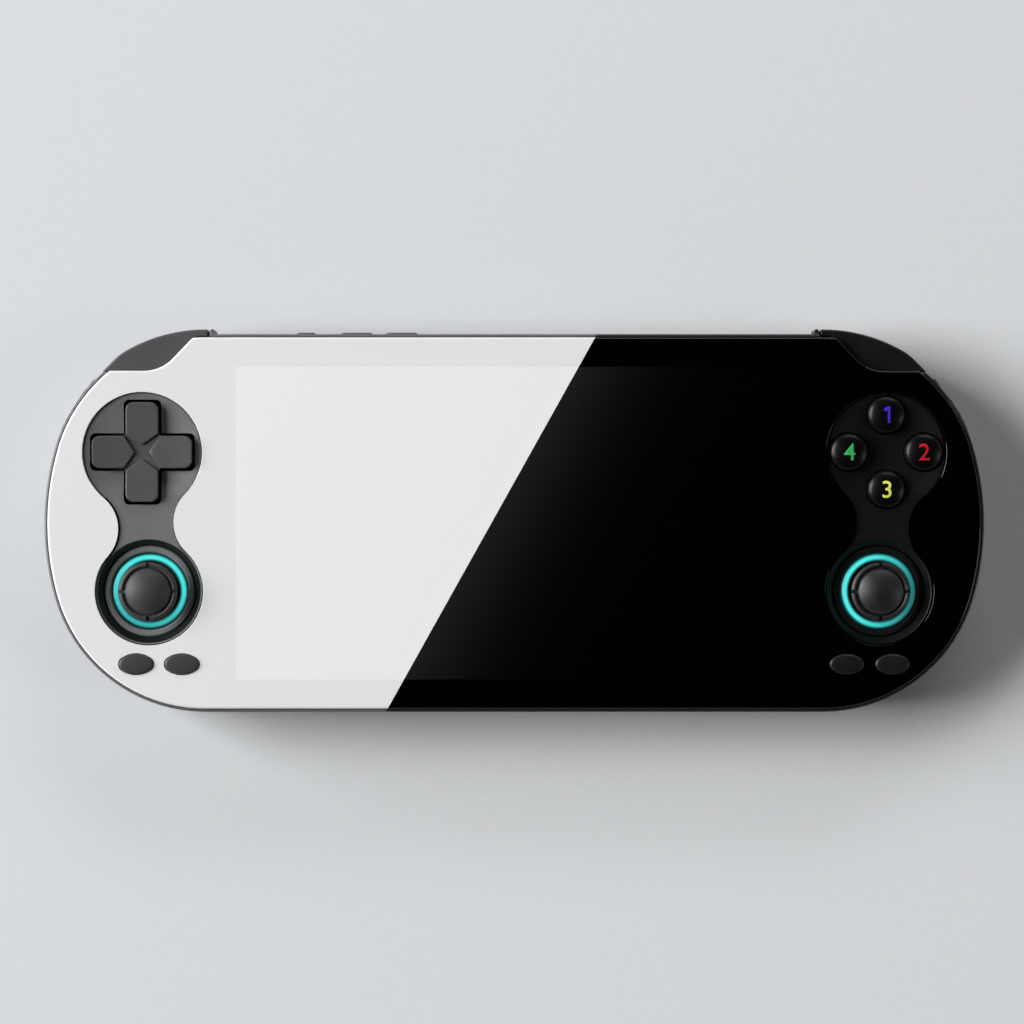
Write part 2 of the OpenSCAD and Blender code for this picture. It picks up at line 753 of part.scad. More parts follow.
// Card slot: flat steel box open to the bottom edge
module card_slot() color(metal) difference() {
  block([card_x, 7.5 - inner_h + 0.1], [card_w + 2.4, 15], main_top_z, main_top_z + 1.6);
  block([card_x, 7 - inner_h], [card_w, 15], main_top_z + 0.4, main_top_z + 1.2);
}

module screw(c, head_z, h) {
  translate([c[0], c[1], head_z]) {
    difference() {
      cylinder(r = head_r, h = 1);
      translate([0, 0, -0.5]) cylinder(r = 0.8, h = 1.1, $fn = 6);
    }
    cylinder(r = screw_r, h = h);
  }
}

// Six screws through the rear shell into the front frame
module case_screws() color(metal) both() for (c = case_screws_at) screw(c, 1.6, split_z + 3.4);

// Screws that hold the main board and the two button boards to the front frame
module board_screws() color(metal) both() {
  for (c = wing_screws_at) screw(c, wing_board_z - 1, board_t + 3.8);
  for (c = board_screws_at) screw(c, main_board_z - 1, board_t + 3.8);
}

// Ball that the direction pad rocks on, seated in the hole of the button board
module dpad_ball() color(metal) left() translate([pad_c[0], pad_c[1], pad_pivot_z]) sphere(ball_r);

// Direction pad: cross with diagonal grooves, dished top and a flange under the island
module dpad_cross() color(control_grey) left() translate([pad_c[0], pad_c[1], 0]) difference() {
  union() {
    plate(pad_flange_z + 0.2, pad_top) cross_2d();
    translate([0, 0, pad_flange_z]) cylinder(r = pad_flange_r, h = pad_flange_t);
  }
  translate([0, 0, pad_top - 0.6 + 100]) sphere(100, $fn = 160);
  for (a = [45, 135]) rotate(a) translate([0, 0, pad_top])
    cube([1.41 * pad_arm + 0.1, 0.8, 2.8], center = true);
  translate([0, 0, pad_pivot_z]) sphere(ball_r + slide);
}

// Face button: round domed cap with a retaining flange and a foot on the rubber dome
module face_button(a) translate([pad_c[0], pad_c[1], 0]) rotate(a) translate([button_reach, 0, 0]) {
  r = button_d / 2;
  rim_z = button_top - button_edge - button_dome_r + sqrt(pow(button_dome_r, 2) - pow(r - button_edge, 2));
  rotate_extrude() {
    intersection() {
      union() {
        translate([0, plate_z]) square([r - button_edge, button_top - plate_z]);
        translate([0, plate_z]) square([r, rim_z - plate_z]);
        translate([r - button_edge, rim_z]) circle(button_edge);
      }
      translate([0, button_top - button_dome_r]) circle(button_dome_r, $fn = 160);
      translate([0, plate_z]) square([r, 20]);
    }
    translate([0, plate_z - 1]) square([r + 0.6, 0.8]);
    translate([0, button_foot_z]) square([1.6, plate_z - 0.5 - button_foot_z]);
    translate([0, plate_z - 0.5]) square([r - 0.3, 1]);
  }
}

module north_button() color(black) face_button(90);

module east_button() color(black) face_button(0);

module south_button() color(black) face_button(270);

module west_button() color(black) face_button(180);

// Oval key with a retaining flange under the deck and a foot on the rubber dome
module key(c) translate([c[0], c[1], 0]) {
  plate(deck_z - 0.1 - key_flange_t, key_top) oval_2d(0);
  plate(deck_z - 0.1 - key_flange_t, deck_z - 0.1) oval_2d(0.6);
  translate([0, 0, dome_top_z + 0.1]) cylinder(r = 1.2, h = deck_z - key_flange_t - dome_top_z);
}

module left_outer_key() color(control_grey) left() key(key_out);

module left_inner_key() color(control_grey) left() key(key_in);

module right_inner_key() color(black) key(key_in);

module right_outer_key() color(black) key(key_out);

// Shoulder button: crescent over the corner with a lug on the pivot pin
module shoulder() difference() {
  union() {
    plate(shoulder_back, shoulder_front) shoulder_2d();
    plate(shoulder_back + 0.6, deck_z - 1.1) {
      translate(pin_c) circle(2.4);
      polygon([pin_c + [0, 2.4], [notch_cv[0] + 3.6, half_h - 3.2], [notch_cc[0] - 2, notch_y + 1.5],
        pin_c + [1, -2.18]]);
    }
  }
  post(pin_c, pin_r + running, 0, body_t);
}

module left_shoulder() color(control_grey) left() shoulder();

module right_shoulder() color(black) shoulder();

// Trigger: curved bar that follows the rounded back edge, with a lug on the same pin
module trigger() difference() {
  union() {
    intersection() {
      pillow(trigger_rise, -trigger_rise, split_z + 1, back_edge_r + trigger_rise);
      plate(0.4, trigger_front) intersection() {
        corner_ring_2d(-trigger_skin, 3);
        translate([shoulder_in + 0.2, half_h / 2]) square([trigger_out - shoulder_in - 0.2, half_h]);
      }
    }
    plate(split_z - 3.2, trigger_front) intersection() {
      corner_ring_2d(-trigger_web, 0.3 - trigger_skin);
      translate([shoulder_in + 0.2, half_h - 13]) square([trigger_out - shoulder_in - 0.2, half_h]);
    }
    plate(split_z - 3.2, trigger_front) translate(pin_c) circle(3.2);
  }
  post(pin_c, pin_r + running, 0, body_t);
}

module left_trigger() color(control_grey) left() trigger();

module right_trigger() color(black) trigger();

// Top edge button: rounded bar with a flange behind the wall and a stem towards its switch
module edge_button(x, w) translate([x, 0, edge_z]) {
  translate([0, half_h + edge_rise, 0]) rotate([90, 0, 0]) linear_extrude(edge_rise + wall + 0.4)
    slot_2d(w, edge_h);
  translate([0, inner_h - 0.1, 0]) rotate([90, 0, 0]) linear_extrude(0.8) slot_2d(w + 1.2, edge_h + 0.6);
  translate([0, inner_h - 0.8, 0]) rotate([90, 0, 0]) cylinder(r = 0.8, h = 1.2);
}

module power_button() color(control_grey) edge_button(power_x, power_w);

module volume_down_button() color(control_grey) edge_button(down_x, volume_w);

module volume_up_button() color(control_grey) edge_button(up_x, volume_w);

rear_shell();
front_frame();
front_panel();
left_island();
right_island();
display_module();
display_ribbon();
main_board();
processor_shield();
battery();
left_button_board();
right_button_board();
dpad_membrane();
face_membrane();
left_key_membrane();
right_key_membrane();
left_light_ring();
right_light_ring();
left_trim_ring();
right_trim_ring();
left_stick_base();
right_stick_base();
left_shoulder_pin();
right_shoulder_pin();
left_shoulder_switches();
right_shoulder_switches();
edge_switches();
left_speaker();
right_speaker();
charging_port();
headphone_jack();
card_slot();
case_screws();
board_screws();
dpad_ball();
dpad_cross();
north_button();
east_button();
south_button();
west_button();
left_outer_key();
left_inner_key();
right_inner_key();
right_outer_key();
left_stick_yoke();
left_stick_rocker();
left_stick_cap();
right_stick_yoke();
right_stick_rocker();
right_stick_cap();
left_shoulder();
right_shoulder();
left_trigger();
right_trigger();
power_button();
volume_down_button();
volume_up_button();
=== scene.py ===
from math import atan2, cos, degrees, hypot, pi, radians, sin

import bmesh
import bpy
from mathutils import Matrix, Vector


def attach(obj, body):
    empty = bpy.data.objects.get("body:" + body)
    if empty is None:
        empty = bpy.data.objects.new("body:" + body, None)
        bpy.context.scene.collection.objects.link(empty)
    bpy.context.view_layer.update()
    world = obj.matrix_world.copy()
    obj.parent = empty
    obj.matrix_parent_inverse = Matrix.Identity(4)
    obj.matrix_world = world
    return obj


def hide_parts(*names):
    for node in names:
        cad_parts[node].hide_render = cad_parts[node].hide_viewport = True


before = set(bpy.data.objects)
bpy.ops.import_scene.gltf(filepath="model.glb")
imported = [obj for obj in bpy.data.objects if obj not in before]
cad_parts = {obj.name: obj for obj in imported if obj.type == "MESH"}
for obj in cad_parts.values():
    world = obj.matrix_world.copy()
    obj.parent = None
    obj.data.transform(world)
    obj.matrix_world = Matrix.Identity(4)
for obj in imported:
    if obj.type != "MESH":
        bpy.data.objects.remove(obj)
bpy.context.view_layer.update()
scene = bpy.context.scene


# Rear shell: the back half of the housing, one injection moulding in ABS with a spark-eroded grain.
# It lies on its flat back. Screws from behind pull it up against the front frame.
# The console is a two-colour build: a slanting line parts the grey half from the black half.
def linear(colour):
    """An sRGB hex colour as the linear RGBA that a shader takes."""
    levels = [int(colour[i:i + 2], 16) / 255 for i in (1, 3, 5)]
    return [c / 12.92 if c <= 0.04045 else ((c + 0.055) / 1.055) ** 2.4 for c in levels] + [1.0]


def add(material, kind, inputs=None, **settings):
    """Adds a node to a material. An input is a value, or another node's socket to link."""
    node = material.node_tree.nodes.new(kind)
    for name, value in settings.items():
        setattr(node, name, value)
    for name, value in (inputs or {}).items():
        if isinstance(value, bpy.types.NodeSocket):
            material.node_tree.links.new(value, node.inputs[name])
        else:
            node.inputs[name].default_value = value
    return node


def start_finish(name, **sockets):
    """A new material of that name, with the constant values of its surface shader set."""
    made = bpy.data.materials.new(name)
    made.use_nodes = True
    surface = made.node_tree.nodes["Principled BSDF"]
    for socket, value in sockets.items():
        surface.inputs[socket.replace("_", " ")].default_value = value
    return made, surface


def wire(material, socket, surface, name):
    """Links a socket to one input of the surface shader."""
    material.node_tree.links.new(socket, surface.inputs[name])


def grained(material, grain, strength, depth):
    """Gives a finish the grain of its mould: bumps of that many mm across and deep."""
    place = add(material, "ShaderNodeTexCoord").outputs["Object"]
    bumps = add(material, "ShaderNodeTexNoise", {"Vector": place, "Scale": 1000 / grain, "Detail": 2})
    relief = add(material, "ShaderNodeBump", {"Height": bumps.outputs["Fac"], "Strength": strength,
                                              "Distance": depth / 1000})
    wire(material, relief.outputs["Normal"], material.node_tree.nodes["Principled BSDF"], "Normal")


def give(piece, finish):
    """Dresses a piece, or a CAD node by its name, in one finish."""
    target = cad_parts[piece] if isinstance(piece, str) else piece
    target.data.materials.clear()
    target.data.materials.append(finish)


def mould(node, name, *cuts):
    """A copy of a CAD solid with its loose triangles joined to whole faces, ready for its edges to be eased.

    A face with openings has to be parted first, so each cut is an X in mm that runs through some of them.
    """
    piece = bpy.data.objects.new(name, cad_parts[node].data.copy())
    scene.collection.objects.link(piece)
    bpy.ops.object.select_all(action="DESELECT")
    bpy.context.view_layer.objects.active = piece
    piece.select_set(True)
    bpy.ops.mesh.customdata_custom_splitnormals_clear()
    bpy.ops.object.mode_set(mode="EDIT")
    bpy.ops.mesh.select_mode(type="EDGE")
    bpy.ops.mesh.select_all(action="SELECT")
    bpy.ops.mesh.remove_doubles(threshold=0.00005)
    for cut in cuts:
        bpy.ops.mesh.select_all(action="SELECT")
        bpy.ops.mesh.bisect(plane_co=(cut / 1000, 0, 0), plane_no=(1, 0, 0))
        bpy.ops.mesh.mark_seam()
    bpy.ops.mesh.select_all(action="SELECT")
    bpy.ops.mesh.dissolve_limited(angle_limit=radians(0.1), delimit={"SEAM"})
    bpy.ops.object.mode_set(mode="OBJECT")
    return piece


def ease(piece, width, where=None, segments=3):
    """Rounds the sharp edges of a piece over that width in mm: all, or those whose middle passes where()."""
    bpy.ops.object.select_all(action="DESELECT")
    bpy.context.view_layer.objects.active = piece
    piece.select_set(True)
    bpy.ops.object.mode_set(mode="EDIT")
    bpy.ops.mesh.select_mode(type="EDGE")
    bpy.ops.mesh.select_all(action="DESELECT")
    bpy.ops.mesh.edges_select_sharp(sharpness=radians(25))
    if where:
        drawn = bmesh.from_edit_mesh(piece.data)
        for edge in drawn.edges:
            if edge.select and not where(1000 * (edge.verts[0].co + edge.verts[1].co) / 2):
                edge.select_set(False)
        bmesh.update_edit_mesh(piece.data)
    bpy.ops.mesh.bevel(offset=width / 1000, segments=segments, profile=0.5, clamp_overlap=False)
    bpy.ops.object.mode_set(mode="OBJECT")
    bpy.ops.object.shade_smooth_by_angle(angle=radians(32))
    bpy.ops.object.modifier_add(type="WEIGHTED_NORMAL")
    piece.modifiers[-1].keep_sharp = True
    bpy.ops.object.modifier_apply(modifier=piece.modifiers[-1].name)
    return piece


def stand_in(piece, body, slot, *nodes):
    """Lets a piece ride on its body and stand for its CAD nodes. Its slot is not used."""
    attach(piece, body)
    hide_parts(*nodes)


# The outline seen from the front, in mm: straight long sides, four corner arcs, and a wide arc over each end.
half_depth = 41
corner_x, corner_y, corner_r = 67, 7, 34
end_x, end_r, end_turn = 43, 59, 16.26


def inside(p):
    """How far a point in mm lies inside the outline of the body seen from the front."""
    x, y = abs(p[0]), abs(p[1])
    if x <= corner_x:
        return half_depth - y
    if degrees(atan2(y - corner_y, x - corner_x)) > end_turn:
        return corner_r - hypot(x - corner_x, y - corner_y)
    return end_r - hypot(x - end_x, y)


# The slanting line: the direction across it, and in metres how far along that it lies and how soft it is.
split_across, split_at, split_blur = (0.8729, -0.4879, 0), -0.00434, 0.00002


def halves(material, left, right):
    """A colour that changes at the slanting line across the console, seen from the front."""
    place = add(material, "ShaderNodeTexCoord").outputs["Object"]
    across = add(material, "ShaderNodeVectorMath", {0: place, 1: split_across}, operation="DOT_PRODUCT")
    side = add(material, "ShaderNodeMapRange", {
        "Value": across.outputs["Value"], "From Min": split_at - split_blur, "From Max": split_at + split_blur})
    return add(material, "ShaderNodeMix", {"Factor": side.outputs["Result"], 6: left, 7: right},
               data_type="RGBA")


# ABS keeps the eroded surface of its mould: a dull grain of about 0.3 mm, a little shinier in patches.
housing_abs, surface = start_finish("ABS moulding, spark-eroded grain", IOR=1.52)
tone = halves(housing_abs, linear("#5c5d60"), linear("#131315"))
place = add(housing_abs, "ShaderNodeTexCoord").outputs["Object"]
patches = add(housing_abs, "ShaderNodeTexNoise", {"Vector": place, "Scale": 1000 / 9, "Detail": 3})
worn = add(housing_abs, "ShaderNodeMapRange", {"Value": patches.outputs["Fac"], "To Min": 0.38, "To Max": 0.52})
shade = add(housing_abs, "ShaderNodeMapRange", {"Value": patches.outputs["Fac"], "To Min": 0.9, "To Max": 1.08})
toned = add(housing_abs, "ShaderNodeVectorMath", {0: tone.outputs[2], "Scale": shade.outputs["Result"]},
            operation="SCALE")
wire(housing_abs, toned.outputs["Vector"], surface, "Base Color")
wire(housing_abs, worn.outputs["Result"], surface, "Roughness")
grained(housing_abs, grain=0.3, strength=0.25, depth=0.03)

shell_cuts = (-95.5, -79.2, -69.7, -60.5, -48, 48, 60.5, 69.7, 79.2, 95.5)
rear_shell = mould("rear_shell", "rear_shell_moulding", *shell_cuts)
ease(rear_shell, 0.2, lambda p: p.z < 0.1 or inside(p) < 1.9)
give(rear_shell, housing_abs)
stand_in(rear_shell, "console", "housing_plastic", "rear_shell")


# Screws: six in the back of the housing, eight under the boards, turned from stainless steel with a hex recess.
# The turning leaves fine marks, duller and brighter in turn. Pins, ball, yokes and shield are the same steel.
def mottled(name, patch, tones, shine=None, detail=3, distortion=0.0, **sockets):
    """A finish that drifts between two colours, and two roughnesses if given, in patches of that many mm."""
    made, surface = start_finish(name, **sockets)
    place = add(made, "ShaderNodeTexCoord").outputs["Object"]
    drift = add(made, "ShaderNodeTexNoise", {"Vector": place, "Scale": 1000 / patch, "Detail": detail,
                                             "Distortion": distortion}).outputs["Fac"]
    hue = add(made, "ShaderNodeMix", {"Factor": drift, 6: linear(tones[0]), 7: linear(tones[1])},
              data_type="RGBA")
    wire(made, hue.outputs[2], surface, "Base Color")
    if shine:
        dull = add(made, "ShaderNodeMapRange", {"Value": drift, "To Min": shine[0], "To Max": shine[1]})
        wire(made, dull.outputs["Result"], surface, "Roughness")
    return made


steel = mottled("Stainless steel, turned", 0.4, ("#9fa2a6", "#c3c5c8"), (0.22, 0.42), detail=4, Metallic=1.0)
case_screws = ease(mould("case_screws", "case_screws_steel", -95.5, -60.5, 60.5, 95.5), 0.12)
give(case_screws, steel)
stand_in(case_screws, "console", "steel", "case_screws")
for node in ("board_screws", "left_shoulder_pin", "right_shoulder_pin", "dpad_ball", "left_stick_yoke",
             "right_stick_yoke", "processor_shield"):
    give(node, steel)


# Boards: glass-fibre laminate under green solder mask, cut to shape and screwed to the front frame.
# The mask is shiny and lets the weave of the glass and the copper below show faintly.
laminate, surface = start_finish("Glass-fibre laminate, solder mask", IOR=1.5, Roughness=0.3)
place = add(laminate, "ShaderNodeTexCoord").outputs["Object"]
copper = add(laminate, "ShaderNodeTexBrick", {
    "Vector": place, "Color1": linear("#1d5a3f"), "Color2": linear("#1a4f38"), "Mortar": linear("#123c2a"),
    "Scale": 1000 / 6, "Mortar Size": 0.03})
weave = add(laminate, "ShaderNodeTexWave", {"Vector": place, "Scale": 1000 / 2.5, "Distortion": 1.0})
relief = add(laminate, "ShaderNodeBump", {"Height": weave.outputs["Fac"], "Strength": 0.1, "Distance": 0.00001})
wire(laminate, copper.outputs["Color"], surface, "Base Color")
wire(laminate, relief.outputs["Normal"], surface, "Normal")
for node in ("main_board", "left_button_board", "right_button_board", "left_shoulder_switches",
             "right_shoulder_switches", "edge_switches"):
    give(node, laminate)


# Battery: a flat pouch in dark printed film, stuck to the floor of the rear shell.
# The film has soft creases that catch the light.
pouch = mottled("Battery pouch film", 5, ("#26282c", "#34363b"), (0.25, 0.45), detail=4, IOR=1.5)
give("battery", pouch)


# Display cable: copper tracks in amber polyimide film, folded from the display down to the main board.
# The tracks show as fine stripes along the cable.
film, surface = start_finish("Polyimide film with copper tracks", IOR=1.7, Roughness=0.28)
place = add(film, "ShaderNodeTexCoord").outputs["Object"]
tracks = add(film, "ShaderNodeTexWave", {"Vector": place, "Scale": 1000 / 3.2}, bands_direction="X")
hue = add(film, "ShaderNodeMix", {"Factor": tracks.outputs["Fac"], 6: linear("#7a4a1e"), 7: linear("#a8703a")},
          data_type="RGBA")
wire(film, hue.outputs[2], surface, "Base Color")
give("display_ribbon", film)


# Rubber mats: silicone pressed into domes that push the controls back up.
# The rubber is matt, with a soft bloom.
silicone = mottled("Silicone rubber, pressed", 1.5, ("#333437", "#424347"), (0.6, 0.75), IOR=1.41,
                   Sheen_Weight=0.3)
for node in ("dpad_membrane", "face_membrane", "left_key_membrane", "right_key_membrane"):
    give(node, silicone)


# Inner mouldings: speaker boxes, stick housings, the dust domes of the sticks and the body of the headphone jack.
# Glass-filled PBT, black and slightly streaky from the flow in the mould.
pbt = mottled("PBT moulding, glass-filled", 2, ("#101113", "#1b1c1f"), (0.35, 0.55), detail=5, distortion=1.5,
              IOR=1.55)
for node in ("left_speaker", "right_speaker", "left_stick_base", "right_stick_base", "left_stick_rocker",
             "right_stick_rocker"):
    give(node, pbt)


# Connections in the bottom edge: charging port and card slot drawn from thin steel sheet, headphone jack moulded.
# Their mouths have rolled edges that catch the light.
for node, name, middle, width, finish, slot in (
        ("charging_port", "charging_port_shell", 0, 0.1, steel, "steel"),
        ("card_slot", "card_slot_cage", -28, 0.08, steel, "steel"),
        ("headphone_jack", "headphone_jack_body", 28, 0.2, pbt, "inner_plastic")):
    mouth = ease(mould(node, name, middle), width)
    give(mouth, finish)
    stand_in(mouth, "console", slot, node)


# Front frame: the side wall of the body with the deck behind the panel, moulded in the same ABS as the back.
# Its thin lip runs round the panel and is all that shows of it from the front.
# A tongue of the lip reaches over the outer end of each shoulder button, so that the rim runs on there.
def turned(name, at, profile, steps=128, start=0.0, sweep=2 * pi):
    """A piece turned about an upright axis at a point in mm, from a closed profile of radius and height in mm.

    It goes all the way round, or from a start angle over a sweep, clockwise if that is positive.
    """
    bpy.ops.object.select_all(action="DESELECT")
    bpy.ops.mesh.primitive_plane_add(size=0.001)
    piece = bpy.context.object
    piece.name = piece.data.name = name
    bpy.ops.object.mode_set(mode="EDIT")
    bpy.ops.mesh.select_mode(type="VERT")
    bpy.ops.mesh.select_all(action="SELECT")
    bpy.ops.mesh.merge(type="CENTER")
    points = [Vector((at[0] + r * cos(start), at[1] + r * sin(start), z)) / 1000 for r, z in profile]
    bpy.ops.transform.translate(value=points[0])
    for here, there in zip(points, points[1:]):
        bpy.ops.mesh.extrude_region_move(TRANSFORM_OT_translate={"value": there - here})
    bpy.ops.mesh.select_all(action="SELECT")
    bpy.ops.mesh.spin(steps=steps, angle=sweep, center=(at[0] / 1000, at[1] / 1000, 0), axis=(0, 0, 1))
    bpy.ops.mesh.select_all(action="SELECT")
    bpy.ops.mesh.remove_doubles(threshold=0.000001)
    if sweep != 2 * pi:
        bpy.ops.mesh.fill_holes(sides=len(profile))
    bpy.ops.mesh.normals_make_consistent(inside=False)
    bpy.ops.object.mode_set(mode="OBJECT")
    bpy.ops.object.shade_smooth_by_angle(angle=radians(32))
    return piece


frame_cuts = [side * x for side in (-1, 1) for x in (95.5, 82, 72.1, 69.7, 65.4, 60.5, 51.5, 28)]
front_frame = mould("front_frame", "front_frame_moulding", *frame_cuts, -45.4, -34.4, -24.6, 0)
ease(front_frame, 0.15, lambda p: inside(p) < 1.9 and 7.4 < p.z < 16.2)
tongue_profile = ((33.35, 15.52), (34, 15.52), (34, 15.95), (33.8, 16.15), (33.35, 16.15), (33.35, 15.52))
tongue_start, tongue_sweep = radians(44.8), radians(4.6)
for sign, start in ((-1, pi - tongue_start), (1, tongue_start)):
    turned("lip_tongue", (sign * corner_x, corner_y), tongue_profile, 6, start, -sign * tongue_sweep)
    front_frame.select_set(True)
    bpy.context.view_layer.objects.active = front_frame
    bpy.ops.object.join()
give(front_frame, housing_abs)
stand_in(front_frame, "console", "housing_plastic", "front_frame")


# Display: a glass module in its tray under the front panel, switched off.
# The glass is near black, with the faint colour cast of its polariser.
glass = mottled("Display glass, switched off", 40, ("#060608", "#0b0b0e"), detail=1, IOR=1.5, Roughness=0.08)
give("display_module", glass)


# Front panel: one clear polycarbonate sheet with its colours printed behind, cut to the outline, edges eased.
# The print is white on the left and black on the right, and leaves a window for the picture.
# The clear sheet over it gives a wet gloss with a faint ripple.
picture_w, picture_h, picture_blur = 120.9, 68.0, 0.2
# How far, in metres, the painted reflection in the black half of the window reaches from the slanting line.
reflection_reach = 0.04504
sheet, surface = start_finish("Polycarbonate sheet, printed behind", IOR=1.5, Coat_Weight=0.4,
                              Coat_Roughness=0.04, Coat_IOR=1.58, Roughness=0.12, Specular_IOR_Level=0.1)
border = halves(sheet, linear("#e2e2e3"), linear("#010101"))
place = add(sheet, "ShaderNodeTexCoord").outputs["Object"]
parts = add(sheet, "ShaderNodeSeparateXYZ", {"Vector": place})
# In the black half of the window a painted reflection, grey, fades away from the slanting line.
fade = add(sheet, "ShaderNodeVectorMath", {0: place, 1: split_across}, operation="DOT_PRODUCT")
nearer = add(sheet, "ShaderNodeMapRange", {"Value": fade.outputs["Value"], "From Min": split_at,
                                           "From Max": split_at + reflection_reach, "To Min": 1.0, "To Max": 0.0})
painted_reflection = add(sheet, "ShaderNodeMath", {0: nearer.outputs["Result"], 1: 4.0}, operation="POWER")
window_black_with_reflection = add(sheet, "ShaderNodeMix", {"Factor": painted_reflection.outputs["Value"], 6: linear("#010101"),
                                     7: linear("#1c1c1d")}, data_type="RGBA")
window = halves(sheet, linear("#eaeaeb"), window_black_with_reflection.outputs[2])
edges = []
for axis, reach in (("X", picture_w / 2), ("Y", picture_h / 2)):
    away = add(sheet, "ShaderNodeMath", {0: parts.outputs[axis]}, operation="ABSOLUTE")
    edges.append(add(sheet, "ShaderNodeMapRange", {
        "Value": away.outputs["Value"], "From Min": (reach - picture_blur) / 1000, "From Max": reach / 1000,
        "To Min": 1.0, "To Max": 0.0}))
framed = add(sheet, "ShaderNodeMath", {0: edges[0].outputs["Result"], 1: edges[1].outputs["Result"]},
             operation="MULTIPLY")
print_colour = add(sheet, "ShaderNodeMix", {"Factor": framed.outputs["Value"], 6: border.outputs[2],
                                            7: window.outputs[2]}, data_type="RGBA")
ripple = add(sheet, "ShaderNodeTexNoise", {"Vector": place, "Scale": 1000 / 14, "Detail": 1})
relief = add(sheet, "ShaderNodeBump", {"Height": ripple.outputs["Fac"], "Strength": 0.15, "Distance": 0.00002})
wire(sheet, print_colour.outputs[2], surface, "Base Color")
wire(sheet, relief.outputs["Normal"], surface, "Coat Normal")

face_z = 16.9
front_panel = mould("front_panel", "front_panel_sheet", -80, -74, 74, 80)
# First the outline with its notches, then the openings of the islands, but not round their waists.
ease(front_panel, 0.5, lambda p: p.z > face_z and (inside(p) < 0.8 or p.y > 32.5), segments=4)
ease(front_panel, 0.12, lambda p: p.z > face_z and inside(p) > 1.4 and (9 < p.y < 32 or -27.5 < p.y < -8),
     segments=2)
give(front_panel, sheet)
stand_in(front_panel, "console", "front_panel", "front_panel")


# Islands: the sunken mouldings that carry the controls, held by a flange under the deck.
# A round dish for the thumb at the top runs over a waist into a cup for the stick. Inside the cup the colour is
# painted near black, as painted shade of the deep recess.
pad_at, cup_at = (80.7, 15.4), (79.2, -14.8)
cup_r, cup_shade_blur = 11.22, 0.04


def control_abs(name, colour, gloss, cup_x=None, level=0.5):
    """Fine-grained ABS for the controls. Inside the cup of a stick at cup_x the colour is painted near black, as
    painted shade.
    """
    made, surface = start_finish(name, IOR=1.52, Specular_IOR_Level=level)
    place = add(made, "ShaderNodeTexCoord").outputs["Object"]
    cloud = add(made, "ShaderNodeTexNoise", {"Vector": place, "Scale": 1000 / 6, "Detail": 3})
    shade = add(made, "ShaderNodeMapRange", {"Value": cloud.outputs["Fac"], "To Min": 0.93, "To Max": 1.07})
    toned = add(made, "ShaderNodeVectorMath", {0: linear(colour)[:3], "Scale": shade.outputs["Result"]},
                operation="SCALE").outputs["Vector"]
    if cup_x is not None:
        # Painted shade: the inside of the stick cup is coloured near black.
        flat = add(made, "ShaderNodeVectorMath", {0: place, 1: (1, 1, 0)}, operation="MULTIPLY")
        reach = add(made, "ShaderNodeVectorMath", {0: flat.outputs["Vector"],
                                                   1: (cup_x / 1000, cup_at[1] / 1000, 0)}, operation="DISTANCE")
        cup_shade = add(made, "ShaderNodeMapRange", {
            "Value": reach.outputs["Value"], "From Min": (cup_r - cup_shade_blur) / 1000,
            "From Max": (cup_r + cup_shade_blur) / 1000})
        toned = add(made, "ShaderNodeMix", {"Factor": cup_shade.outputs["Result"], 6: linear("#0b0d0d"), 7: toned},
                    data_type="RGBA").outputs[2]
    shine = add(made, "ShaderNodeMapRange", {"Value": cloud.outputs["Fac"], "To Min": gloss - 0.05,
                                             "To Max": gloss + 0.06})
    wire(made, toned, surface, "Base Color")
    wire(made, shine.outputs["Result"], surface, "Roughness")
    grained(made, grain=0.22, strength=0.15, depth=0.02)
    return made


for side, sign, colour, gloss, level in (("left", -1, "#69696a", 0.42, 0.5), ("right", 1, "#080809", 0.4, 0.3)):
    island = mould(f"{side}_island", f"{side}_island_moulding", *[sign * x for x in (72.6, 80, 88.8)])
    ease(island, 0.22, lambda p: p.z > 16.2 and hypot(abs(p.x) - pad_at[0], p.y - pad_at[1]) > 12.7)
    give(island, control_abs(f"ABS moulding, {side} island", colour, gloss, sign * cup_at[0], level))
    stand_in(island, "console", f"{side}_control_plastic", f"{side}_island")


# Rings in each stick cup: a light guide cast in clear acrylic, and round it a turned aluminium trim ring.
# Lamps on the board below make the guide glow blue-green.
# The trim ring is painted, grey on the left and black on the right.
guide_profile = [(6.5, 13.2), (8.3, 13.2), (8.3, 14.1), (7.85, 14.55), (6.95, 14.55), (6.5, 14.1), (6.5, 13.2)]
trim_profile = [(8.4, 13.2), (9.9, 13.2), (9.9, 14.6), (9.6, 14.9), (8.75, 14.9), (8.4, 14.6), (8.4, 13.2)]
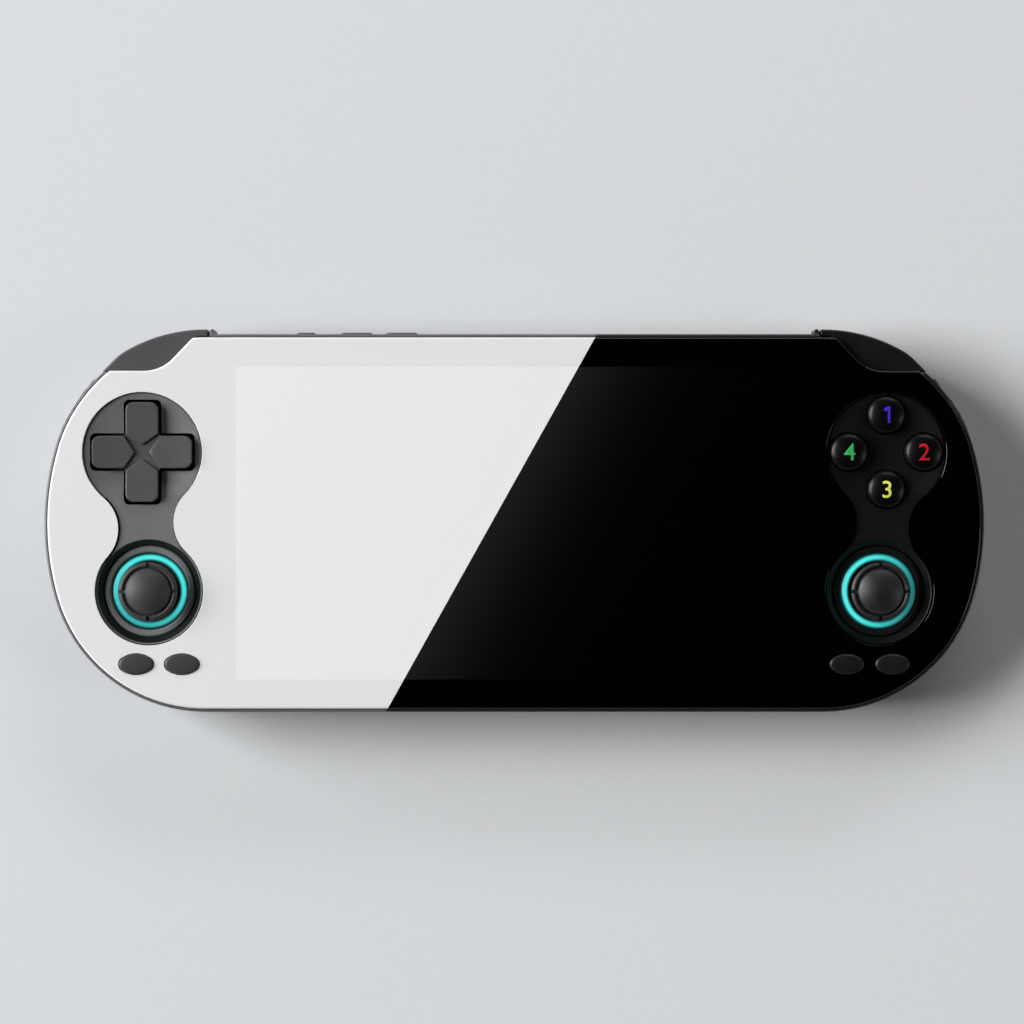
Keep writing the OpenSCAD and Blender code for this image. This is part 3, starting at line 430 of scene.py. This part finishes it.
# In mm: where the glow runs, how wide it is at its core and its edge, and from where to where it gains light.
glow_r, glow_core, glow_edge = 7.38, 0.1, 0.8
faint_end, bright_end = -7.4, 4.0
for side, sign, bright, faint, lamps, tones in (("left", -1, 1.0, 0.5, 75, ("#6c6d6e", "#757677")),
                                                ("right", 1, 1.05, 0.22, 170, ("#040505", "#080909"))):
    at = (sign * cup_at[0], cup_at[1])
    # The lamps sit under the middle of the ring, on one side, so the glow is full there and dies away from it.
    acrylic, surface = start_finish(f"Cast acrylic light guide, {side}, lit", IOR=1.49, Roughness=0.25,
                                    Base_Color=linear("#0d3a3b"))
    place = add(acrylic, "ShaderNodeTexCoord").outputs["Object"]
    spread = add(acrylic, "ShaderNodeTexNoise", {"Vector": place, "Scale": 1000 / 3, "Detail": 1})
    glow = add(acrylic, "ShaderNodeMix", {"Factor": spread.outputs["Fac"], 6: linear("#48e6e3"),
                                          7: linear("#56f1ee")}, data_type="RGBA")
    out = add(acrylic, "ShaderNodeVectorMath", {0: place, 1: (at[0] / 1000, at[1] / 1000, 0)},
              operation="SUBTRACT")
    flat = add(acrylic, "ShaderNodeVectorMath", {0: out.outputs["Vector"], 1: (1, 1, 0)}, operation="MULTIPLY")
    reach = add(acrylic, "ShaderNodeVectorMath", {0: flat.outputs["Vector"]}, operation="LENGTH")
    away = add(acrylic, "ShaderNodeMath", {0: reach.outputs["Value"], 1: glow_r / 1000}, operation="SUBTRACT")
    offset = add(acrylic, "ShaderNodeMath", {0: away.outputs["Value"]}, operation="ABSOLUTE")
    middle = add(acrylic, "ShaderNodeMapRange", {"Value": offset.outputs["Value"], "From Min": glow_core / 1000,
                                                 "From Max": glow_edge / 1000, "To Min": 1.0, "To Max": 0.03},
                 interpolation_type="SMOOTHSTEP")
    aim = (cos(radians(lamps)), sin(radians(lamps)), 0)
    toward = add(acrylic, "ShaderNodeVectorMath", {0: flat.outputs["Vector"], 1: aim}, operation="DOT_PRODUCT")
    lit = add(acrylic, "ShaderNodeMapRange", {"Value": toward.outputs["Value"], "From Min": faint_end / 1000,
                                              "From Max": bright_end / 1000, "To Min": faint, "To Max": bright})
    power = add(acrylic, "ShaderNodeMath", {0: middle.outputs["Result"], 1: lit.outputs["Result"]},
                operation="MULTIPLY")
    wire(acrylic, glow.outputs[2], surface, "Emission Color")
    wire(acrylic, power.outputs["Value"], surface, "Emission Strength")
    guide = turned(f"{side}_light_guide", at, guide_profile)
    ease(guide, 0.25, lambda p: p.z > 13.5)
    give(guide, acrylic)
    stand_in(guide, "console", "light_guide", f"{side}_light_ring")

    satin = mottled(f"Satin paint on aluminium, {side} trim", 0.5, tones, (0.38, 0.5), IOR=1.5,
                    Specular_IOR_Level=0.35)
    trim = turned(f"{side}_trim_turning", at, trim_profile)
    ease(trim, 0.12)
    give(trim, satin)
    stand_in(trim, "console", "trim_metal", f"{side}_trim_ring")


# Direction pad: a one-piece cross in grey ABS that rocks on a steel ball, held by a flange under the island.
# Its four arms are raised pads, parted by an X of grooves, on a shallow dish for the thumb.
pad_x, pad_y = -pad_at[0], pad_at[1]
half_arm, half_span, tip_round = 3.5, 10.8, 1.7
foot_z, cross_t, pad_t, dish_r = 12.4, 4.4, 0.6, 100
groove_w, point_spread = 0.35, 3.2
flange_r, flange_t, flange_z = 8.4, 0.6, 12.2
ball_r, ball_z = 2.0, 11.0
foot_at = (pad_x / 1000, pad_y / 1000, foot_z / 1000)


def pick(piece, where, kind="EDGE"):
    """Selects the edges, faces or vertices in edit mode whose middle, in mm, passes where()."""
    bpy.ops.mesh.select_mode(type=kind)
    bpy.ops.mesh.select_all(action="DESELECT")
    drawn = bmesh.from_edit_mesh(piece.data)
    for part in {"EDGE": drawn.edges, "FACE": drawn.faces, "VERT": drawn.verts}[kind]:
        corners = [part.co] if kind == "VERT" else [v.co for v in part.verts]
        if where(1000 * sum(corners, Vector()) / len(corners)):
            part.select_set(True)
    drawn.select_flush_mode()
    bmesh.update_edit_mesh(piece.data)


def from_pad(p):
    """How far a point in mm lies from the middle of the direction pad, seen from the front."""
    return hypot(p.x - pad_x, p.y - pad_y)


bpy.ops.object.select_all(action="DESELECT")
bpy.ops.mesh.primitive_plane_add(size=2 * half_arm / 1000, location=foot_at)
dpad = bpy.context.object
dpad.name = dpad.data.name = "dpad_cross_moulding"
bpy.ops.object.transform_apply(location=True, rotation=True, scale=True)
bpy.ops.object.mode_set(mode="EDIT")
# Four arms are pulled out of a square, their tips rounded, and the square is shared out between them.
for ax, ay in ((1, 0), (0, 1), (-1, 0), (0, -1)):
    pick(dpad, lambda p: hypot(p.x - pad_x - ax * half_arm, p.y - pad_y - ay * half_arm) < 0.1)
    pull = (half_span - half_arm) / 1000
    bpy.ops.mesh.extrude_region_move(TRANSFORM_OT_translate={"value": (ax * pull, ay * pull, 0)})
pick(dpad, lambda p: max(abs(p.x - pad_x), abs(p.y - pad_y)) > half_span - 0.1, "VERT")
bpy.ops.mesh.bevel(offset=tip_round / 1000, segments=6, affect="VERTICES")
pick(dpad, lambda p: from_pad(p) < 0.1, "FACE")
bpy.ops.mesh.poke()
pick(dpad, lambda p: abs(from_pad(p) - half_arm) < 0.1)
bpy.ops.mesh.dissolve_edges(use_verts=False)
# The X between the arms becomes grooves, and the inner points of the pads are blunted.
pick(dpad, lambda p: abs(abs(p.x - pad_x) - half_arm / 2) < 0.1 and abs(abs(p.y - pad_y) - half_arm / 2) < 0.1)
bpy.ops.mesh.bevel(offset=groove_w / 1000, segments=1, clamp_overlap=False)
pick(dpad, lambda p: from_pad(p) < 0.8, "VERT")
bpy.ops.transform.resize(value=(point_spread, point_spread, 1), center_override=foot_at)
bpy.ops.mesh.select_all(action="SELECT")
bpy.ops.mesh.extrude_region_move(TRANSFORM_OT_translate={"value": (0, 0, cross_t / 1000)})
pick(dpad, lambda p: p.z > foot_z + cross_t - 0.1 and from_pad(p) > 4
     and min(abs(p.x - pad_x), abs(p.y - pad_y)) < 0.3, "FACE")
bpy.ops.mesh.extrude_region_move(TRANSFORM_OT_translate={"value": (0, 0, pad_t / 1000)})
# Cuts across the arms let the top bend into the dish.
for step in (2.5, 4, 5.5, 7, 8.3, 9.4, 10.2):
    for turn in ((1, 0, 0), (-1, 0, 0), (0, 1, 0), (0, -1, 0)):
        bpy.ops.mesh.select_all(action="SELECT")
        bpy.ops.mesh.bisect(plane_co=(Vector((pad_x, pad_y, 0)) + step * Vector(turn)) / 1000, plane_no=turn)
bpy.ops.object.mode_set(mode="OBJECT")
for vertex in dpad.data.vertices:
    if vertex.co.z > 0.0165:
        vertex.co.z += from_pad(1000 * vertex.co) ** 2 / (2 * dish_r) / 1000
ease(dpad, 0.2, lambda p: p.z > 17.25)
bpy.ops.object.mode_set(mode="EDIT")
bpy.ops.mesh.select_all(action="DESELECT")
bpy.ops.mesh.primitive_cylinder_add(vertices=96, radius=flange_r / 1000, depth=flange_t / 1000,
                                    location=(pad_x / 1000, pad_y / 1000, flange_z / 1000))
bpy.ops.mesh.select_all(action="SELECT")
bpy.ops.mesh.normals_make_consistent(inside=False)
bpy.ops.object.mode_set(mode="OBJECT")
bpy.ops.object.select_all(action="DESELECT")
bpy.ops.mesh.primitive_uv_sphere_add(segments=48, ring_count=24, radius=ball_r / 1000,
                                     location=(pad_x / 1000, pad_y / 1000, ball_z / 1000))
socket = bpy.context.object
bpy.context.view_layer.objects.active = dpad
bpy.ops.object.modifier_add(type="BOOLEAN")
dpad.modifiers[-1].object, dpad.modifiers[-1].use_self = socket, True
bpy.ops.object.modifier_apply(modifier=dpad.modifiers[-1].name)
bpy.data.objects.remove(socket)
give(dpad, control_abs("ABS moulding, direction pad", "#4a4a4c", 0.4))
stand_in(dpad, "dpad", "left_control_plastic", "dpad_cross")


# Face buttons: four domed caps in polished black ABS, each with a coloured numeral moulded into its top.
# The polish is soft, so the dome shows a broad bright arc toward each light.
def again(piece, name, shift):
    """Another of the same piece, with its own mesh, moved by that many mm."""
    other = bpy.data.objects.new(name, piece.data.copy())
    scene.collection.objects.link(other)
    other.data.transform(Matrix.Translation(Vector(shift) / 1000))
    return other


polished = mottled("ABS moulding, polished black", 1.5, ("#040405", "#080809"), (0.28, 0.34), IOR=1.54,
                   Specular_IOR_Level=0.16)
reach = 8.1
crown, top = 9.0, 18.2
numeral_size, numeral_bold, numeral_t, grid = 5.2, 0.03, 0.04, 0.23
flag_size, flag_turn = (0.95, 0.62, 0.08), radians(-42)
foot = [(0, 11.8), (1.6, 11.8), (1.6, 12.4), (4.75, 12.4), (4.75, 13.2), (4.15, 13.2)]
shoulder = [(4.15, 16.2), (4.11, 16.6), (4.02, 16.9), (3.88, 17.14), (3.7, 17.32), (3.5, 17.46), (3.27, 17.58)]
dome = [(0.25 * i, top - crown + (crown ** 2 - (0.25 * i) ** 2) ** 0.5) for i in range(12, -1, -1)]
cap = turned("north_button_cap", (pad_at[0], pad_at[1] + reach), foot + shoulder + dome)
give(cap, polished)
caps = {"north": cap}
for name, shift in (("east", (reach, -reach, 0)), ("south", (0, -2 * reach, 0)), ("west", (-reach, -reach, 0))):
    caps[name] = again(cap, f"{name}_button_cap", shift)
for name, numeral, colour, dx, dy in (("north", "1", "#412bc0", 0, reach), ("east", "2", "#c01a28", reach, 0),
                                      ("south", "3", "#dce55c", 0, -reach), ("west", "4", "#3cac60", -reach, 0)):
    stand_in(caps[name], f"{name}_button", "face_button_plastic", f"{name}_button")
    bpy.ops.object.select_all(action="DESELECT")
    bpy.ops.object.text_add()
    mark = bpy.context.object
    mark.name = f"{name}_button_numeral"
    mark.data.body = numeral
    mark.data.align_x, mark.data.align_y = "CENTER", "CENTER"
    mark.data.size, mark.data.offset = numeral_size / 1000, numeral_bold / 1000
    mark.data.extrude = numeral_t / 1000
    bpy.ops.object.convert(target="MESH")
    if numeral == "1":
        # The font's 1 is a bare bar, so it gets a flag at its head.
        head, edge = max(v.co.y for v in mark.data.vertices), min(v.co.x for v in mark.data.vertices)
        flag = (edge - 0.0003, head - 0.0006, 0)
        bpy.ops.object.mode_set(mode="EDIT")
        bpy.ops.mesh.select_all(action="DESELECT")
        bpy.ops.mesh.primitive_cube_add(size=0.001, location=flag)
        bpy.ops.transform.resize(value=flag_size)
        bpy.ops.transform.rotate(value=flag_turn, orient_axis="Z", center_override=flag)
        bpy.ops.object.mode_set(mode="OBJECT")
    low = Vector([min(v.co[i] for v in mark.data.vertices) for i in range(3)])
    high = Vector([max(v.co[i] for v in mark.data.vertices) for i in range(3)])
    centre = Vector((pad_at[0] + dx, pad_at[1] + dy, top))
    mark.location = centre / 1000 - (low + high) / 2
    bpy.ops.object.transform_apply(location=True, rotation=True, scale=True)
    # A fine grid of cuts lets the numeral follow the dome.
    bpy.ops.object.mode_set(mode="EDIT")
    for strip in range(-9, 10):
        for along in ((1, 0, 0), (0, 1, 0)):
            bpy.ops.mesh.select_all(action="SELECT")
            bpy.ops.mesh.bisect(plane_co=(centre + grid * strip * Vector((1, 1, 0))) / 1000, plane_no=along)
    bpy.ops.object.mode_set(mode="OBJECT")
    for vertex in mark.data.vertices:
        far = hypot(1000 * vertex.co.x - centre.x, 1000 * vertex.co.y - centre.y)
        vertex.co.z -= (crown - (crown ** 2 - far ** 2) ** 0.5) / 1000
    ink, surface = start_finish(f"ABS inlay, numeral {numeral}", IOR=1.5, Roughness=0.3)
    place = add(ink, "ShaderNodeTexCoord").outputs["Object"]
    cloud = add(ink, "ShaderNodeTexNoise", {"Vector": place, "Scale": 1000 / 1.2, "Detail": 2})
    shade = add(ink, "ShaderNodeMapRange", {"Value": cloud.outputs["Fac"], "To Min": 0.9, "To Max": 1.1})
    hue = add(ink, "ShaderNodeVectorMath", {0: linear(colour)[:3], "Scale": shade.outputs["Result"]},
              operation="SCALE")
    wire(ink, hue.outputs["Vector"], surface, "Base Color")
    give(mark, ink)
    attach(mark, f"{name}_button")


# Oval keys: two small keys below each stick, moulded with a flange that holds them under the deck.
# Each stands on a foot over its rubber dome and has a rounded edge and a slight crown.
outer_x, inner_x, key_y = 82.0, 72.1, -30.6
key_a, key_b, key_flange, key_edge_z = 3.75, 2.25, 0.6, 17.0
foot_r, key_foot_z = 1.2, 11.8
bpy.ops.object.select_all(action="DESELECT")
bpy.ops.mesh.primitive_circle_add(vertices=72, radius=foot_r / 1000, fill_type="NGON",
                                  location=(outer_x / 1000, key_y / 1000, key_foot_z / 1000))
key = bpy.context.object
key.name = key.data.name = "right_outer_key_moulding"
bpy.ops.object.transform_apply(location=True, rotation=True, scale=True)
bpy.ops.object.mode_set(mode="EDIT")
bpy.ops.mesh.select_all(action="SELECT")
rounding = [(0.6 * (1 - cos(radians(a))), key_edge_z + 0.5 * sin(radians(a))) for a in (0, 18, 36, 54, 72, 90)]
levels = [(foot_r, foot_r, 13.7), (key_a + key_flange, key_b + key_flange, 13.7),
          (key_a + key_flange, key_b + key_flange, 14.5), (key_a, key_b, 14.5)]
levels += [(key_a - drop, key_b - drop, z) for drop, z in rounding] + [(2.2, 1.0, 17.57), (1.2, 0.5, 17.6)]
wide, high, z = foot_r, foot_r, key_foot_z
for a, b, level in levels:
    bpy.ops.mesh.extrude_region_move(TRANSFORM_OT_translate={"value": (0, 0, (level - z) / 1000)})
    bpy.ops.transform.resize(value=(a / wide, b / high, 1), center_override=(outer_x / 1000, key_y / 1000, 0))
    wide, high, z = a, b, level
bpy.ops.mesh.select_all(action="SELECT")
bpy.ops.mesh.normals_make_consistent(inside=False)
bpy.ops.object.mode_set(mode="OBJECT")
bpy.ops.object.shade_smooth_by_angle(angle=radians(32))
keys = {"right_outer": key}
for name, x in (("right_inner", inner_x), ("left_outer", -outer_x), ("left_inner", -inner_x)):
    keys[name] = again(key, f"{name}_key_moulding", (x - outer_x, 0, 0))
for side, colour, gloss in (("left", "#3a3a3b", 0.42), ("right", "#101011", 0.4)):
    finish = control_abs(f"ABS moulding, {side} keys", colour, gloss, level=0.35)
    for spot in ("outer", "inner"):
        key = keys[f"{side}_{spot}"]
        give(key, finish)
        stand_in(key, f"{side}_{spot}_key", f"{side}_control_plastic", f"{side}_{spot}_key")


# Stick caps: soft rubber moulded over a bored stem, with a domed top, a ring groove and four nicks in the rim.
# The stem sits on the shaft of the rocker, tilts with it and slides on it for the click.
cap_crown, cap_top, nick_z = 9, 21.4, 19.35
dome = [(cap_crown * sin(radians(a)), cap_top - cap_crown * (1 - cos(radians(a)))) for a in range(0, 33, 4)]
groove = [(4.87, 19.85), (4.95, 19.42), (5.05, 19.38), (5.2, 19.48), (5.5, 19.83)]
rim = [(5.65, 19.92), (5.85, 19.9), (6.1, 19.77), (6.28, 19.6), (6.37, 19.45), (6.4, 19.35), (6.36, 19.22)]
stem = [(6.2, 19.08), (5.7, 18.9), (2.6, 18.9), (2.6, 15.1), (1.56, 15.1), (1.56, 19.9), (0, 19.9)]


def in_nick(p, at):
    """Whether a point in mm on the rim of a cap lies in one of its nicks."""
    turn = degrees(atan2(p.y - at[1], p.x - at[0])) % 90
    return min(turn, 90 - turn) < 3 and 5.05 < hypot(p.x - at[0], p.y - at[1]) < 6.4 and p.z > 19.38


for side, sign, tones, shine, level in (("left", -1, ("#303031", "#363637"), (0.5, 0.58), 0.4),
                                        ("right", 1, ("#0d0d0e", "#111112"), (0.45, 0.53), 0.5)):
    rubber = mottled(f"Thermoplastic rubber, {side} stick", 2.5, tones, shine, IOR=1.5, Specular_IOR_Level=level)
    grained(rubber, grain=0.18, strength=0.2, depth=0.02)
    at = (sign * cup_at[0], cup_at[1])
    stick = turned(f"{side}_stick_rubber", at, dome + groove + rim + stem, 96)
    bpy.ops.object.mode_set(mode="EDIT")
    pick(stick, lambda p: in_nick(p, at), "FACE")
    bpy.ops.mesh.extrude_region_move(TRANSFORM_OT_translate={"value": (0, 0, 0)})
    bpy.ops.transform.resize(value=(1, 1, 0), center_override=(0, 0, nick_z / 1000))
    bpy.ops.object.mode_set(mode="OBJECT")
    bpy.ops.object.shade_smooth_by_angle(angle=radians(32))
    give(stick, rubber)
    stand_in(stick, f"{side}_stick", "stick_rubber", f"{side}_stick_cap")


# Shoulder buttons and triggers: two curved ABS bars in each upper corner, one behind the other, on one steel pin.
# Each shoulder stands proud of the corner, and toward its outer end it tapers down to the rim.
pin_x, proud = 69.7, 1.1
taper, taper_top, taper_length = 0.75, 37.5, 4.75
for side, sign, colour, gloss in (("left", -1, "#4c4c4e", 0.38), ("right", 1, "#101011", 0.36)):
    finish = control_abs(f"ABS moulding, {side} shoulder", colour, gloss, level=0.35)
    for kind in ("shoulder", "trigger"):
        bar = mould(f"{side}_{kind}", f"{side}_{kind}_moulding", sign * pin_x)
        for vertex in bar.data.vertices if kind == "shoulder" else ():
            x, y = 1000 * vertex.co.x, 1000 * vertex.co.y
            if abs(x) > 80 and y < taper_top and inside((x, y)) < -0.6:
                near = (taper_top - y) / taper_length
                r = corner_r + proud - taper * near ** 2 * (3 - 2 * near)
                vertex.co.x = sign * (corner_x + (r ** 2 - (y - corner_y) ** 2) ** 0.5) / 1000
        ease(bar, 0.5, lambda p: inside(p) < 1.2)
        give(bar, finish)
        stand_in(bar, f"{side}_{kind}", f"{side}_control_plastic", f"{side}_{kind}")


# Top edge buttons: power and two for the volume, small rounded bars pushed through slots in the frame.
# They are grey ABS like the controls, and each stands in front of a push switch.
finish = control_abs("ABS moulding, edge buttons", "#4e4e51", 0.38)
for name in ("power_button", "volume_down_button", "volume_up_button"):
    button = mould(name, f"{name}_moulding")
    ease(button, 0.4, lambda p: p.y > 41.2, segments=4)
    give(button, finish)
    stand_in(button, name, "left_control_plastic", name)


# Studio: a pale matt floor that runs out of sight, two soft boxes, a strip light, and a dim room.
# The ceiling is dark so that the gloss of the panel, seen from above, stays deep.
bpy.ops.object.select_all(action="DESELECT")
bpy.ops.mesh.primitive_plane_add(size=12)
floor = bpy.context.object
floor.name = "studio_floor"
matt = mottled("Matt paper floor", 2, ("#d3d5d7", "#d8dadc"), Roughness=0.9, Specular_IOR_Level=0.1)
give(floor, matt)

room = bpy.data.worlds.new("Studio room")
scene.world = room
room.use_nodes = True
direction = add(room, "ShaderNodeTexCoord")
parts = add(room, "ShaderNodeSeparateXYZ", {"Vector": direction.outputs["Generated"]})
rise = add(room, "ShaderNodeMapRange", {"Value": parts.outputs["Z"], "From Min": 0.12, "From Max": 0.55})
sky = add(room, "ShaderNodeMix", {"Factor": rise.outputs["Result"], 6: linear("#dfe1e3"), 7: linear("#0c0c0d")},
          data_type="RGBA")
dim = add(room, "ShaderNodeMix", {"Factor": rise.outputs["Result"], 6: linear("#a0a2a5"), 7: linear("#0c0c0d")},
          data_type="RGBA")
ray = add(room, "ShaderNodeLightPath")
seen = add(room, "ShaderNodeMath", {0: ray.outputs["Is Camera Ray"], 1: ray.outputs["Is Glossy Ray"]},
           operation="MAXIMUM")
through = add(room, "ShaderNodeMath", {0: seen.outputs["Value"], 1: ray.outputs["Is Transmission Ray"]},
              operation="MAXIMUM")
shown = add(room, "ShaderNodeMix", {"Factor": through.outputs["Value"], 6: dim.outputs[2], 7: sky.outputs[2]},
            data_type="RGBA")
wire(room, shown.outputs[2], room.node_tree.nodes["Background"], "Color")

for name, place, width, height, power in (("Key soft box", (-3.2, 0.7, 1.75), 2.4, 2.4, 262),
                                          ("Fill soft box", (1.9, -0.4, 1.25), 0.7, 0.7, 6),
                                          ("Back strip", (0.5, 2.2, 1.1), 1.6, 0.5, 14)):
    bpy.ops.object.light_add(type="AREA", location=place)
    lamp = bpy.context.object
    lamp.name = name
    lamp.data.shape, lamp.data.size, lamp.data.size_y, lamp.data.energy = "RECTANGLE", width, height, power
    lamp.rotation_euler = (-Vector(place)).to_track_quat("-Z", "Y").to_euler()
    lamp.visible_camera = False

# Camera: straight above the front, as far away as the perspective of the sticks in their cups shows.
# The stand is its distance from the panel, and wide is the width of the picture there.
stand, wide, panel_z = 0.8, 0.222, 0.017
bpy.ops.object.camera_add(location=(-0.0005, 0.0024, panel_z + stand), rotation=(0, 0, 0))
camera = bpy.context.object
camera.data.sensor_width = 36
camera.data.lens = 36 * stand / wide
camera.data.clip_start, camera.data.clip_end = 0.01, 50
scene.camera = camera
scene.view_settings.view_transform = "Standard"
